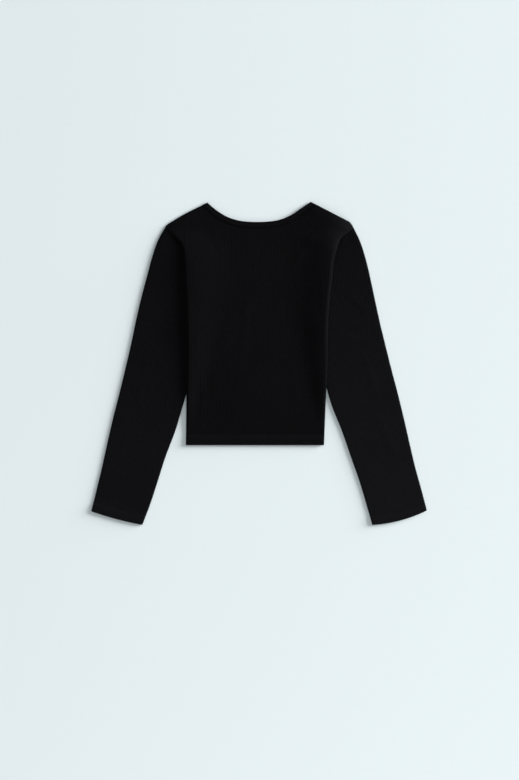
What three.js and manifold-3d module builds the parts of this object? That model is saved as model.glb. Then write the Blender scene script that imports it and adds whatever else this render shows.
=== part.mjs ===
// A black rib-knit crop top with long sleeves, laid flat with its back up.
// Millimetres, +Z up. +Y runs to the neck, x = 0 is the middle of the body, and z = 0 is where it lies.
// The body lies over the inner edge of each sleeve, which is tucked under it as one rounded layer.

import * as THREE from "three";
import { mergeVertices } from "three/addons/utils/BufferGeometryUtils.js";
import Module from "manifold-3d";

const wasm = await Module();
wasm.setup();

// Cloth
const WALL = 1.4;
const RIB_HEIGHT = 0.5;
const INSIDE_GAP = 0.6; // air between the two laid walls
const SEAM_GAP = 0.3; // between pieces that are sewn together
const LAID = 2 * WALL + INSIDE_GAP; // height of two walls on each other
const TURNED = 0.6; // what a turned hem adds to a wall
const BODY_TURN = 18; // width of the turned hem
const CUFF_TURN = 15;
const TURN_STEP = 3; // a turned hem comes up over this length

// Ribs: a fine column of points is half a rib, and a plain column is two ribs
const BODY_COLUMNS = 32; // plain columns between the side edges
const WING_COLUMNS = 4; // plain columns from a side edge out to the tip of the shoulder
const FINE = 4; // fine columns in a plain one
const SLEEVE_COLUMNS = 7;
const SLEEVE_FINE = 8;

// Neck
const BAND_WIDTH = 11.5;
const BAND_THICKNESS = 2;
const BAND_PROUD = 0.6; // how far the band stands above the back panel's wall
const NECK_STEPS = 50; // in half of a neck seam
const NECK_HALF_WIDTH = 102;
const FRONT_DROP = 75; // from the neck points down to the middle of the front neckline
const BAND_LEAN = THREE.MathUtils.degToRad(64); // the shoulder seam's direction, from straight down
const FRONT_CURVE = 2.6; // the power of its curve
const LEAN_CURVE = 1.7; // how late the band starts to lean towards the shoulder seam
const FOLD_STEPS = 4;
const NECK_CORNER = 2.5; // the shoulder seams start this far outside the band

// Rounding
const EDGE_ROUND = 4; // a folded edge is rounded over this width
const SLEEVE_EDGE_DROP = 1.9;
const PANEL_EDGE_DROP = 0.6;
const SLEEVE_BANK = 0.45; // how far a sleeve rises towards the body, as a share of the body's lift
const BANK_WIDTH = 30;
const THINNEST_TUCK = 1.2;
const ZONE_GROWTH = 0.45; // the zone keeps clear of the body's edge by this
const ZONE_TOP = 30; // the body's zone reaches from well above it
const ZONE_FLOOR = -2; // to below the floor

const HEM_Y = -163;
const UNDERARM_Y = 212;
const TIP_X = 187; // the tips of the shoulders

// Rows of points up the body, from the hem to the underarm, and the number of rows above that
const BODY_ROWS = [HEM_Y, -145, -142, -120, -95, -70, -45, -12, 35, 90, 140, 180, UNDERARM_Y];
const YOKE_ROWS = 6;

// The body's edge on each side: the side edge up to the underarm, then the armhole
const SIDES = [
  { y: -163, left: 146, right: 130 },
  { y: -73, left: 145, right: 133.6 },
  { y: 0, left: 144.8, right: 136.6 },
  { y: 79, left: 145.2, right: 137.8 },
  { y: 127, left: 145.5, right: 140.8 },
  { y: 168, left: 146.6, right: 145.8 },
  { y: 212, left: 149, right: 150.6 },
  { y: 226, left: 151.4, right: 154.8 },
  { y: 239, left: 156.4, right: 158.8 },
  { y: 248, left: 164, right: 162.8 },
  { y: 256, left: 172.5, right: 170 },
  { y: 262, left: 179.3, right: 178.2 },
  { y: 269, left: 187, right: 187 },
];

// How high a tucked sleeve lifts the body's edge, and how far in from the edge the lift dies out
const LIFTS = [
  { y: -145, height: 0, spread: 20 },
  { y: -125, height: 0.5, spread: 22 },
  { y: -90, height: 2.2, spread: 26 },
  { y: -57, height: 4, spread: 34 },
  { y: -35, height: 4.8, spread: 42 },
  { y: 0, height: 5.4, spread: 54 },
  { y: 60, height: 5.6, spread: 72 },
  { y: 105, height: 5.6, spread: 86 },
  { y: 140, height: 5.6, spread: 96 },
  { y: 170, height: 5.6, spread: 100 },
  { y: 205, height: 5.4, spread: 104 },
  { y: 222, height: 4.8, spread: 104 },
  { y: 236, height: 3.6, spread: 98 },
  { y: 250, height: 2.2, spread: 88 },
  { y: 262, height: 0.8, spread: 70 },
  { y: 274, height: 0, spread: 50 },
];

// The shoulder seams, from the neck out to the tips
const SHOULDERS = [
  { x: 100, left: 321.6, right: 324.4 },
  { x: 114, left: 316.2, right: 318 },
  { x: 127, left: 310.1, right: 311.2 },
  { x: 157, left: 294.2, right: 295.6 },
  { x: 176, left: 282.6, right: 285.8 },
  { x: 183, left: 277.9, right: 281.4 },
  { x: 187, left: 273.6, right: 276 },
];

// The edge of the back neck
const NECKLINE = [
  { x: 0, left: 283.1, right: 283.1 },
  { x: 18, left: 283.5, right: 284 },
  { x: 36, left: 285.2, right: 286.3 },
  { x: 52, left: 289.2, right: 291.2 },
  { x: 68, left: 295.8, right: 298.8 },
  { x: 84, left: 305.9, right: 310.2 },
  { x: 102, left: 320.4, right: 321.8 },
];

// Soft folds that run up the middle of the back, and the length over which their ends die out
const SWELL_END = 90;
const SWELLS = [
  { x: -45, width: 62, height: 3.2, from: -160, to: 262 },
  { x: 27, width: 46, height: 1.1, from: -150, to: 255 },
  { x: -62, width: 26, height: 0.5, from: -60, to: 235 },
];

// The back panel's side edges are rolled up: how high on each side, and how far inside the crest it dies out
const ROLLS = [
  { y: -163, left: 0.4, right: 0.4, leftFall: 60, rightFall: 46 },
  { y: -120, left: 1, right: 0.5, leftFall: 66, rightFall: 46 },
  { y: -60, left: 2.4, right: 0.7, leftFall: 84, rightFall: 46 },
  { y: 0, left: 3.8, right: 1, leftFall: 104, rightFall: 48 },
  { y: 40, left: 4.2, right: 1.5, leftFall: 110, rightFall: 48 },
  { y: 71, left: 4.4, right: 2.2, leftFall: 110, rightFall: 44 },
  { y: 104, left: 4.2, right: 1.8, leftFall: 108, rightFall: 52 },
  { y: 137, left: 4.2, right: 2.6, leftFall: 102, rightFall: 46 },
  { y: 180, left: 3.6, right: 2.3, leftFall: 98, rightFall: 56 },
  { y: 215, left: 3.1, right: 2.8, leftFall: 96, rightFall: 54 },
  { y: 235, left: 2.7, right: 4, leftFall: 94, rightFall: 76 },
  { y: 255, left: 2, right: 5, leftFall: 90, rightFall: 110 },
  { y: 268, left: 1.4, right: 4.8, leftFall: 84, rightFall: 120 },
];
const ROLL_RISE = 9; // from the edge to the crest
const ROLL_FADE = 10; // the rolls die out over this width at the shoulder seams

// Each sleeve, in sections from the shoulder to the cuff: the folded outer edge, and the inner edge
const SLEEVES = {
  left: {
    side: -1,
    bow: 2.2,
    sections: [
      { down: 0, outX: 189.6, outY: 270, inX: 124, inY: 221 },
      { down: 16, outX: 198, outY: 254, inX: 106, inY: 203 },
      { down: 34, outX: 205.2, outY: 238, inX: 97, inY: 187 },
      { down: 67, outX: 215.6, outY: 206, inX: 91, inY: 165 },
      { down: 92, outX: 221.8, outY: 182, inX: 91, inY: 148 },
      { down: 140, outX: 234.6, outY: 134, inX: 97, inY: 108 },
      { down: 190, outX: 245.8, outY: 86, inX: 108, inY: 62 },
      { down: 240, outX: 255.8, outY: 38, inX: 122, inY: 14 },
      { down: 290, outX: 267, outY: -10, inX: 137.2, inY: -35 },
      { down: 340, outX: 278.6, outY: -58, inX: 152.2, inY: -84 },
      { down: 390, outX: 290.8, outY: -106, inX: 167, inY: -134 },
      { down: 440, outX: 302, outY: -154, inX: 186, inY: -184 },
      { down: 490, outX: 313.4, outY: -206, inX: 202, inY: -234 },
      { down: 540, outX: 325, outY: -254, inX: 217.3, inY: -281 },
      { down: 582, outX: 335.2, outY: -295.2, inX: 233, inY: -322.4 },
    ],
  },
  right: {
    side: 1,
    bow: 5.8,
    sections: [
      { down: 0, outX: 190.4, outY: 270, inX: 122, inY: 221 },
      { down: 16, outX: 198, outY: 254, inX: 104, inY: 203 },
      { down: 34, outX: 204.6, outY: 238, inX: 95, inY: 187 },
      { down: 67, outX: 214.4, outY: 206, inX: 89, inY: 165 },
      { down: 92, outX: 220.2, outY: 182, inX: 88, inY: 148 },
      { down: 140, outX: 230.6, outY: 134, inX: 93, inY: 108 },
      { down: 190, outX: 241, outY: 86, inX: 104, inY: 62 },
      { down: 240, outX: 252.6, outY: 38, inX: 117, inY: 14 },
      { down: 290, outX: 264.6, outY: -10, inX: 131.5, inY: -35 },
      { down: 340, outX: 277.2, outY: -58, inX: 145.6, inY: -84 },
      { down: 390, outX: 289, outY: -106, inX: 165.6, inY: -134 },
      { down: 440, outX: 300, outY: -154, inX: 183, inY: -184 },
      { down: 490, outX: 312.2, outY: -206, inX: 200.5, inY: -234 },
      { down: 540, outX: 325.4, outY: -254, inX: 214.8, inY: -281 },
      { down: 582, outX: 335.6, outY: -293.6, inX: 226.6, inY: -322.4 },
    ],
  },
};
const SLEEVE_ROWS = [0, 16, 34, 62, 92, 140, 195, 250, 300, 345, 400, 460, 520, 564, 567, 582];
const HOLLOW_ROWS = [80, 140, 220, 300, 380, 460, 520, 563, 567, 582];
const HOLLOW_INSET = 6; // from a sleeve's outer fold to the hollow inside it
const PAST_MOUTH = 5; // how far the hollow's cutter runs out of the cuff
const OPEN_FROM = [340, 420]; // down here the hollow widens from beside the body to the whole sleeve
const HOLLOW_COLUMNS = 4;
const BOW_RUN = 150; // a cuff's edge bows out over this last length of the sleeve

// Small helpers

const clamp = THREE.MathUtils.clamp;
const smooth = THREE.MathUtils.smoothstep;

// The columns of a table as smooth functions of one of them, held at the table's ends.
function curvesOf(rows, along) {
  const places = rows.map((row) => row[along]);
  const curves = {};
  for (const name of Object.keys(rows[0])) {
    const spline = new THREE.CubicInterpolant(places, rows.map((row) => row[name]), 1);
    curves[name] = (at) => spline.evaluate(clamp(at, places[0], places.at(-1)))[0];
  }
  return curves;
}

const sides = curvesOf(SIDES, "y");
const lifts = curvesOf(LIFTS, "y");
const rolls = curvesOf(ROLLS, "y");
const shoulders = curvesOf(SHOULDERS, "x");
const neckline = curvesOf(NECKLINE, "x");
const sideOf = (x) => (x < 0 ? "left" : "right");

// Closed solids from points

class Faces {
  constructor() {
    this.points = [];
  }

  triangle(a, b, c) {
    this.points.push(a, b, c);
  }

  quad(a, b, c, d) {
    this.triangle(a, b, c);
    this.triangle(a, c, d);
  }

  // A wall between a fine line of points and a plain one below it that has the same ends.
  wall(fine, plain) {
    const step = (fine.length - 1) / (plain.length - 1);
    for (let p = 0; p + 1 < plain.length; p++) {
      for (let f = p * step; f < (p + 1) * step; f++) {
        this.triangle(plain[p], fine[f + 1], fine[f]);
      }
      this.triangle(plain[p], plain[p + 1], fine[(p + 1) * step]);
    }
  }

  geometry() {
    const made = new THREE.BufferGeometry().setFromPoints(this.points);
    return mergeVertices(made, 1e-4);
  }
}

function solidOf(geometry) {
  const mesh = new wasm.Mesh({
    numProp: 3,
    vertProperties: geometry.attributes.position.array,
    triVerts: new Uint32Array(geometry.index.array),
  });
  return new wasm.Manifold(mesh);
}

function geometryOf(solid) {
  const mesh = solid.getMesh();
  const geometry = new THREE.BufferGeometry();
  geometry.setAttribute("position", new THREE.BufferAttribute(mesh.vertProperties, 3));
  geometry.setIndex(new THREE.BufferAttribute(mesh.triVerts, 1));
  return geometry;
}

// Heights that the pieces share

// How far the tucked sleeves lift the body's underside.
function liftAt(x, y) {
  const inward = sides[sideOf(x)](y) - Math.abs(x);
  const share = clamp(inward / lifts.spread(y), 0, 1);
  return Math.max(0, lifts.height(y)) * 0.5 * (1 + Math.cos(Math.PI * share));
}

// How far the turned hem thickens one wall, this far above its edge.
const turnAt = (above, width) => TURNED * (1 - smooth(above, width, width + TURN_STEP));

function swellAt(x, y) {
  let height = 0;
  for (const fold of SWELLS) {
    const across = (x - fold.x) / fold.width;
    const along = smooth(y, fold.from, fold.from + SWELL_END) * (1 - smooth(y, fold.to - SWELL_END, fold.to));
    height += fold.height * along * Math.exp(-across * across);
  }
  return height;
}

// Neck

// The edge of the neck at a share from -1 to 1 of its half width, and the way the band lies from it.
function neckPoint(panel, share) {
  const x = NECK_HALF_WIDTH * share;
  const away = Math.abs(share);
  let y = neckline[sideOf(x)](Math.abs(x));
  if (panel === "front") {
    const [leftEnd, rightEnd] = [neckline.left(NECK_HALF_WIDTH), neckline.right(NECK_HALF_WIDTH)];
    const level = THREE.MathUtils.lerp(leftEnd, rightEnd, (1 + share) / 2);
    y = level - FRONT_DROP * (1 - Math.pow(away, FRONT_CURVE));
  }
  const lean = BAND_LEAN * Math.pow(away, LEAN_CURVE);
  return {
    edge: new THREE.Vector2(x, y),
    outward: new THREE.Vector2(Math.sign(share) * Math.sin(lean), -Math.cos(lean)),
  };
}

// The seam between a panel and the band, as a height over x and as the share that lies at an x.
function neckSeam(panel) {
  const rows = [];
  for (let step = -NECK_STEPS; step <= NECK_STEPS; step++) {
    const share = step / NECK_STEPS;
    const { edge, outward } = neckPoint(panel, share);
    const point = edge.addScaledVector(outward, BAND_WIDTH + SEAM_GAP);
    rows.push({ x: point.x, y: point.y, share });
  }
  return { ...curvesOf(rows, "x"), end: rows.at(-1).x };
}

const neckSeams = { back: neckSeam("back"), front: neckSeam("front") };

// The top edge of a panel: its shoulder seams, with the neck between them.
function topOf(panel, x) {
  const across = Math.abs(x);
  const seam = neckSeams[panel];
  return across < seam.end + NECK_CORNER ? seam.y(x) : shoulders[sideOf(x)](across);
}

// Body

// Where a side's armhole is at this distance from the middle.
function armholeY(side, across) {
  let low = UNDERARM_Y;
  let high = SIDES.at(-1).y;
  for (let step = 0; step < 30; step++) {
    const middle = (low + high) / 2;
    if (sides[side](middle) < across) low = middle;
    else high = middle;
  }
  return high;
}

// How far a rolled side edge lifts the back panel.
function rollAt(x, y) {
  const side = sideOf(x);
  const inward = sides[side](y) - Math.abs(x);
  const rise = clamp(inward / ROLL_RISE, 0, 1);
  const share = clamp((inward - ROLL_RISE) / rolls[side + "Fall"](y), 0, 1);
  const fade = smooth(topOf("back", x) - y, 0, ROLL_FADE);
  return rolls[side](y) * rise * 0.5 * (1 + Math.cos(Math.PI * share)) * fade;
}

// A point of the body's plan, by its plain column from the middle and its row from the hem.
function bodyPoint(panel, column, row, grow) {
  const side = column < 0 ? "left" : "right";
  const outer = BODY_COLUMNS / 2;
  const inBody = Math.min(Math.abs(column) / outer, 1);
  const inWing = Math.max(Math.abs(column) - outer, 0) / WING_COLUMNS;
  const yokeRow = row - (BODY_ROWS.length - 1);
  const halfWidth = sides[side](yokeRow < 0 ? BODY_ROWS[row] : UNDERARM_Y);
  const across = halfWidth * inBody + (TIP_X - halfWidth) * inWing;
  const x = Math.sign(column) * across;
  let y = BODY_ROWS[row];
  if (yokeRow >= 0) {
    const bottom = inWing > 0 ? armholeY(side, across) : UNDERARM_Y;
    const top = topOf(yokeRow < YOKE_ROWS ? "front" : panel, x); // both panels share the rows below
    y = bottom + ((top - bottom) * yokeRow) / YOKE_ROWS;
    if (yokeRow === 0 && inWing > 0) y -= grow;
  }
  return { x: x + (inBody === 1 ? Math.sign(column) * grow : 0), y, lift: liftAt(x, y) };
}

// How near a point of the body is to its sewn sides, from 1 at the edge to 0 at the rounding's end.
function edgeShare(x, y) {
  const inward = sides[sideOf(x)](y) - Math.abs(x);
  return 1 - clamp(inward / EDGE_ROUND, 0, 1);
}

// A closed layer of the body between two height functions of a plan point.
function bodyLayer(panel, topHeight, bottomHeight, fine, grow = 0) {
  const faces = new Faces();
  const lastRow = BODY_ROWS.length - 1 + YOKE_ROWS;
  const yokeStart = BODY_ROWS.length - 1;
  const body = BODY_COLUMNS / 2;
  const wing = body + WING_COLUMNS;
  const at = (height, step) => (index, row) => {
    const plan = bodyPoint(panel, index / step, row, grow);
    return new THREE.Vector3(plan.x, plan.y, height(plan, Math.abs(index)));
  };
  const upper = at(topHeight, fine);
  const lower = at(bottomHeight, 1);

  const cells = (point, step, facesUp) => {
    for (let row = 0; row < lastRow; row++) {
      const reach = step * (row < yokeStart ? body : wing);
      for (let i = -reach; i < reach; i++) {
        const [a, b, c, d] = [point(i, row), point(i + 1, row), point(i + 1, row + 1), point(i, row + 1)];
        if (facesUp) faces.quad(a, b, c, d);
        else faces.quad(a, d, c, b);
      }
    }
  };
  cells(upper, fine, true);
  cells(lower, 1, false);

  const alongRow = (point, step, from, to, row) => {
    const line = [];
    const turn = Math.sign(to - from);
    for (let i = from * step; i !== to * step + turn; i += turn) line.push(point(i, row));
    return line;
  };
  const wallOnRow = (from, to, row) =>
    faces.wall(alongRow(upper, fine, from, to, row), alongRow(lower, 1, from, to, row));
  wallOnRow(-body, body, 0);
  wallOnRow(body, wing, yokeStart);
  wallOnRow(wing, -wing, lastRow);
  wallOnRow(-wing, -body, yokeStart);

  const upColumn = (point, step, column, from, to) => {
    const line = [];
    const turn = Math.sign(to - from);
    for (let row = from; row !== to + turn; row += turn) line.push(point(column * step, row));
    return line;
  };
  const wallOnColumn = (column, from, to) =>
    faces.wall(upColumn(upper, fine, column, from, to), upColumn(lower, 1, column, from, to));
  wallOnColumn(body, 0, yokeStart);
  wallOnColumn(wing, yokeStart, lastRow);
  wallOnColumn(-wing, lastRow, yokeStart);
  wallOnColumn(-body, yokeStart, 0);
  return faces.geometry();
}

const hemTurn = (plan) => turnAt(plan.y - HEM_Y, BODY_TURN);
const halfGap = (plan) => (INSIDE_GAP - (INSIDE_GAP - SEAM_GAP) * edgeShare(plan.x, plan.y)) / 2;
const innerTop = (plan) => plan.lift + WALL + INSIDE_GAP / 2 + hemTurn(plan);

function backPanel() {
  const raised = (plan) => swellAt(plan.x, plan.y) + rollAt(plan.x, plan.y);
  const under = (plan) => innerTop(plan) + halfGap(plan) + raised(plan);
  const over = (plan, index) => {
    const rounding = PANEL_EDGE_DROP * edgeShare(plan.x, plan.y) ** 2;
    const rib = (index % 2) * RIB_HEIGHT;
    const plain = plan.lift + LAID + 2 * hemTurn(plan) + raised(plan);
    return plain - rounding + rib;
  };
  return bodyLayer("back", over, under, FINE);
}

function frontPanel() {
  const under = (plan) => plan.lift;
  const over = (plan) => innerTop(plan) - halfGap(plan);
  return bodyLayer("front", over, under, 1);
}

// What the body keeps clear of the sleeves: all above its underside, and all where no tuck fits below.
function bodyZone() {
  const under = (plan) => {
    const room = plan.lift - SEAM_GAP;
    return room >= THINNEST_TUCK ? room : ZONE_FLOOR;
  };
  return bodyLayer("back", () => ZONE_TOP, under, 1, ZONE_GROWTH);
}

// Sleeves

// A point of a sleeve's plan: across runs from 0 at the outer fold to 1 at the inner edge.
function sleevePoint(sleeve, curves, down, across) {
  const out = new THREE.Vector2(curves.outX(down) * sleeve.side, curves.outY(down));
  const inner = new THREE.Vector2(curves.inX(down) * sleeve.side, curves.inY(down));
  const chord = inner.clone().sub(out);
  const length = sleeve.sections.at(-1).down;
  const bow = sleeve.bow * 4 * across * (1 - across) * smooth(down, length - BOW_RUN, length);
  const towardsCuff = new THREE.Vector2(chord.y, -chord.x).multiplyScalar(-sleeve.side).normalize();
  const point = out.addScaledVector(chord, across).addScaledVector(towardsCuff, bow);
  const width = chord.length();
  return { x: point.x, y: point.y, fromOuter: across * width, fromInner: (1 - across) * width };
}

// A sleeve's flattened top: rounded at its folds, and banked up to the body that lies over it.
function sleeveTop(plan, down, length) {
  const rounding = (from) => SLEEVE_EDGE_DROP * (1 - clamp(from / EDGE_ROUND, 0, 1)) ** 2;
  const outside = Math.max(0, Math.abs(plan.x) - sides[sideOf(plan.x)](plan.y));
  const bank = SLEEVE_BANK * Math.max(0, lifts.height(plan.y)) * Math.exp(-((outside / BANK_WIDTH) ** 2));
  const turn = 2 * turnAt(length - down, CUFF_TURN);
  return LAID + bank + turn - rounding(plan.fromOuter) - rounding(plan.fromInner);
}

// A closed layer between two heights over a strip of rows and columns, with fine columns on top.
function stripLayer(rows, columns, fine, planAt, topHeight, bottomHeight) {
  const faces = new Faces();
  const at = (height, count) => (index, row) => {
    const plan = planAt(rows[row], index / count);
    return new THREE.Vector3(plan.x, plan.y, height(plan, rows[row], index));
  };
  const last = rows.length - 1;
  const upper = at(topHeight, columns * fine);
  const lower = at(bottomHeight, columns);
  const line = (point, count, row) => Array.from({ length: count + 1 }, (_, i) => point(i, row));
  const edge = (point, index) => rows.map((_, row) => point(index, row));
  for (let row = 0; row < last; row++) {
    for (let i = 0; i < columns * fine; i++) {
      faces.quad(upper(i, row), upper(i, row + 1), upper(i + 1, row + 1), upper(i + 1, row));
    }
    for (let i = 0; i < columns; i++) {
      faces.quad(lower(i, row), lower(i + 1, row), lower(i + 1, row + 1), lower(i, row + 1));
    }
  }
  const total = columns * fine;
  faces.wall(line(upper, total, 0).reverse(), line(lower, columns, 0).reverse());
  faces.wall(line(upper, total, last), line(lower, columns, last));
  faces.wall(edge(upper, 0), edge(lower, 0));
  faces.wall(edge(upper, total).reverse(), edge(lower, columns).reverse());
  return faces.geometry();
}

// Rows and columns run the other way round on the right, which would turn the faces inside out.
function facingOut(geometry, side) {
  if (side > 0) {
    const index = geometry.index.array;
    for (let i = 0; i < index.length; i += 3) [index[i], index[i + 1]] = [index[i + 1], index[i]];
  }
  return solidOf(geometry);
}

function sleeveGeometry(sleeve, zone) {
  const curves = curvesOf(sleeve.sections, "down");
  const length = sleeve.sections.at(-1).down;
  const planAt = (down, across) => sleevePoint(sleeve, curves, down, across);
  const ribbed = (plan, down, index) => sleeveTop(plan, down, length) + (index % 2) * RIB_HEIGHT;
  const outer = stripLayer(SLEEVE_ROWS, SLEEVE_COLUMNS, SLEEVE_FINE, planAt, ribbed, () => 0);

  // The hollow runs between the two walls, clear of the tucked edge, and out of the cuff.
  const hollowAt = (down, across) => {
    const whole = planAt(down, across);
    const width = whole.fromOuter + whole.fromInner;
    const from = HOLLOW_INSET / width;
    const covered = Math.max(0, sides[sideOf(whole.x)](whole.y) + BANK_WIDTH - curves.inX(down));
    const to = 1 - (HOLLOW_INSET + covered * (1 - smooth(down, ...OPEN_FROM))) / width;
    const plan = planAt(down, from + (to - from) * across);
    if (down === length) plan.y -= PAST_MOUTH;
    return plan;
  };
  const floor = (plan, down) => WALL + turnAt(length - down, CUFF_TURN);
  const ceiling = (plan, down) => floor(plan, down) + INSIDE_GAP;
  const hollow = stripLayer(HOLLOW_ROWS, HOLLOW_COLUMNS, 1, hollowAt, ceiling, floor);
  const { side } = sleeve;
  return geometryOf(facingOut(outer, side).subtract(zone).subtract(facingOut(hollow, side)));
}

// Neckband

// One ring: its back arc lies on top, and at each neck point it folds over to the front arc below.
function neckbandGeometry() {
  const stations = [];
  const height = LAID + BAND_PROUD;
  const station = (panel, share) => {
    const { edge, outward } = neckPoint(panel, share);
    const seam = edge.clone().addScaledVector(outward, BAND_WIDTH);
    const [outerZ, innerZ] = panel === "back" ? [height, height - BAND_THICKNESS] : [0, WALL];
    stations.push([
      new THREE.Vector3(edge.x, edge.y, outerZ),
      new THREE.Vector3(seam.x, seam.y, outerZ),
      new THREE.Vector3(seam.x, seam.y, innerZ),
      new THREE.Vector3(edge.x, edge.y, innerZ),
    ]);
  };
  const arc = (panel, direction) => {
    const spacing = (2 * sides.left(UNDERARM_Y)) / BODY_COLUMNS;
    const count = Math.floor(neckSeams[panel].end / spacing);
    for (let i = -count; i <= count; i++) station(panel, neckSeams[panel].share(i * direction * spacing));
  };
  const fold = (direction, from) => {
    const { edge, outward } = neckPoint("back", direction);
    const bulge = new THREE.Vector2(-direction * outward.y, direction * outward.x);
    const outerRadius = height / 2;
    const innerMiddle = (height - BAND_THICKNESS + WALL) / 2;
    const innerRadius = (height - BAND_THICKNESS - WALL) / 2;
    for (let step = 0; step <= FOLD_STEPS; step++) {
      const turn = from * Math.PI * (0.5 - step / FOLD_STEPS);
      const point = (along, radius, middle) => {
        const plan = edge.clone().addScaledVector(outward, along);
        plan.addScaledVector(bulge, radius * Math.cos(turn));
        return new THREE.Vector3(plan.x, plan.y, middle + radius * Math.sin(turn));
      };
      stations.push([
        point(0, outerRadius, outerRadius),
        point(BAND_WIDTH, outerRadius, outerRadius),
        point(BAND_WIDTH, innerRadius, innerMiddle),
        point(0, innerRadius, innerMiddle),
      ]);
    }
  };
  arc("back", 1);
  fold(1, 1);
  arc("front", -1);
  fold(-1, -1);

  const faces = new Faces();
  stations.forEach((here, index) => {
    const next = stations[(index + 1) % stations.length];
    for (let side = 0; side < 4; side++) {
      const other = (side + 1) % 4;
      faces.quad(here[side], here[other], next[other], next[side]);
    }
  });
  return faces.geometry();
}

// The garment

function cloth(name, geometry, shade) {
  const material = new THREE.MeshStandardMaterial({ color: shade, roughness: 0.95, metalness: 0 });
  const mesh = new THREE.Mesh(geometry, material);
  mesh.name = name;
  return mesh;
}

const zone = solidOf(bodyZone());
const top = new THREE.Group();
top.add(cloth("back_panel", backPanel(), 0x17171a));
top.add(cloth("front_panel", frontPanel(), 0x151518));
top.add(cloth("left_sleeve", sleeveGeometry(SLEEVES.left, zone), 0x141417));
top.add(cloth("right_sleeve", sleeveGeometry(SLEEVES.right, zone), 0x18181b));
top.add(cloth("neckband", neckbandGeometry(), 0x121214));

export default top;
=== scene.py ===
# A black rib-knit crop top with long sleeves, laid flat with its back up, seen from straight above.
# Sizes are in millimetres, and a point becomes metres in one place, where its mesh is made.
# +X is to the right in the photograph, +Y runs to the neck, and z = 0 is where the garment lies.

import math

import bpy
import numpy as np
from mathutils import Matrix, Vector

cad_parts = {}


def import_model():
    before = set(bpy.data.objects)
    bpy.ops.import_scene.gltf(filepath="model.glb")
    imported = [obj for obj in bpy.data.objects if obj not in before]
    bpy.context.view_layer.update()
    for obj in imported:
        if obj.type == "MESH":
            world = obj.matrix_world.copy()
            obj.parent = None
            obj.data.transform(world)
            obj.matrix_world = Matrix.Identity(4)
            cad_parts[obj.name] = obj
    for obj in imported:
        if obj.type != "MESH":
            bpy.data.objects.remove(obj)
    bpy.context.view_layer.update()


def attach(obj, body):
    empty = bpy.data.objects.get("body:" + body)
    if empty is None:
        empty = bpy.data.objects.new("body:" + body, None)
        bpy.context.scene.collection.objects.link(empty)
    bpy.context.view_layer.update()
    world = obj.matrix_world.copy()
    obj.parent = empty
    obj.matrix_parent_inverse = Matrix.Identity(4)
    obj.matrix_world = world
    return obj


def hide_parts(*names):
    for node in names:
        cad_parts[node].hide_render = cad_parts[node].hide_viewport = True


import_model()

MM = 0.001

# Cloth
WALL = 1.4
RIB_HEIGHT = 0.36
RIB_ROUNDNESS = 0.65  # the power of a rib's section: a low one makes round ribs with narrow valleys
INSIDE_GAP = 0.6  # air between the two laid walls
SEAM_GAP = 0.3  # between pieces that are sewn together
LAID = 2 * WALL + INSIDE_GAP  # height of two walls on each other
TURNED = 0.6  # what a turned hem adds to a wall
BODY_TURN = 18  # width of the turned hem
CUFF_TURN = 15
TURN_STEP = 3  # a turned hem comes up over this length
EDGE_ROUND = 4  # folded and sewn edges are rounded over this width
HEM_ROUND = 1.3  # and a turned hem's edge over this one
THIN_EDGE = 0.3  # the share of a wall's thickness that is left at a sewn edge
THIN_HEM = 0.12
SEAM_ROWS = [244, 260]  # up the armhole its edge turns from a loose fold into a tight seam
SEAM_ROUND = 1.6
THIN_SEAM = 0.75

# Ribs: two to a plain column of the body, and each has this many samples
SAMPLES = 6
BODY_COLUMNS = 16  # from the middle to a side edge
WING_COLUMNS = 4  # from a side edge out to the tip of the shoulder
SIDE_COLUMNS = [0.006, 0.02, 0.045]  # more columns, this share of a plain one inside a side edge
SLEEVE_RIBS = 28
ROW_STEP = 6.5
YOKE_ROWS = 18  # between the rows that stand close to the armholes and to the top edge
EDGE_STEPS = [0, 0.2, 0.5, 1, 1.8, 3, 4.5, 6]  # rows stand closer near an edge
EDGE_BAND = EDGE_STEPS[-1]
MOST_BAND = 0.4  # the share of a short column that such a band takes at most
CAP_ROWS = 10  # a sleeve's even rows start this far down
ARMHOLE_SAMPLES = 400

# Hems: two rows of stitches, this far above the edge, each in a groove that presses the ribs flat
HEM_STITCHES = [14.5, 17.5]
CUFF_STITCHES = [10.5, 13.5]
HEM_ZONE = 29  # a hem has rows of its own up to here
HEM_EDGE_ROWS = [0, 0.15, 0.4, 0.8, 1.4, 2.5, 4, 6]
GROOVE_ROWS = np.array([-1.4, -0.8, -0.4, 0, 0.4, 0.8, 1.4])
BELOW_STITCHES = 4
ABOVE_STITCHES = [2.4, 3.6, 5]
ZONE_END = 3  # the last of them lies this far below its end
HEM_HIGHLIGHT = 0.2  # painted highlight: a turned hem, being two layers thick, stands up into the light and is painted this much paler
GROOVE_WIDTH = 0.6
GROOVE_DEPTH = 0.22
STITCH_PITCH = 3.2
STITCH_LENGTH = 2.8
STITCH_POINTS = 7
THREAD_SIDES = 6
THREAD_RADIUS = 0.24
THREAD_TAPER = 1.9  # how much a stitch thins towards its ends: 2 would make it end in a point
THREAD_LIFT = 0.9  # a stitch's middle lies this many thread radii above its groove
THREAD_SINK = 5  # and it sinks by this many times the square of the way along it

# Knit: each rib is four wales wide, and a course is one row of stitches
WALES_PER_RIB = 4
WALES_PER_BAND_RIB = 2
COURSE = 1.3
VEE_SLANT = 1.1  # how steep the two halves of a stitch are, in courses for each wale
LOOP_SHARE = 0.35  # how much of a stitch's height changes along the wale
FUZZ_HEIGHT = 0.35
FUZZ_TONE = 0.45
WEAR_TONE = 0.3
# painted shade: the hollows between the knit's strands are painted darker by this share
STITCH_SHADE = 0.25

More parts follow.
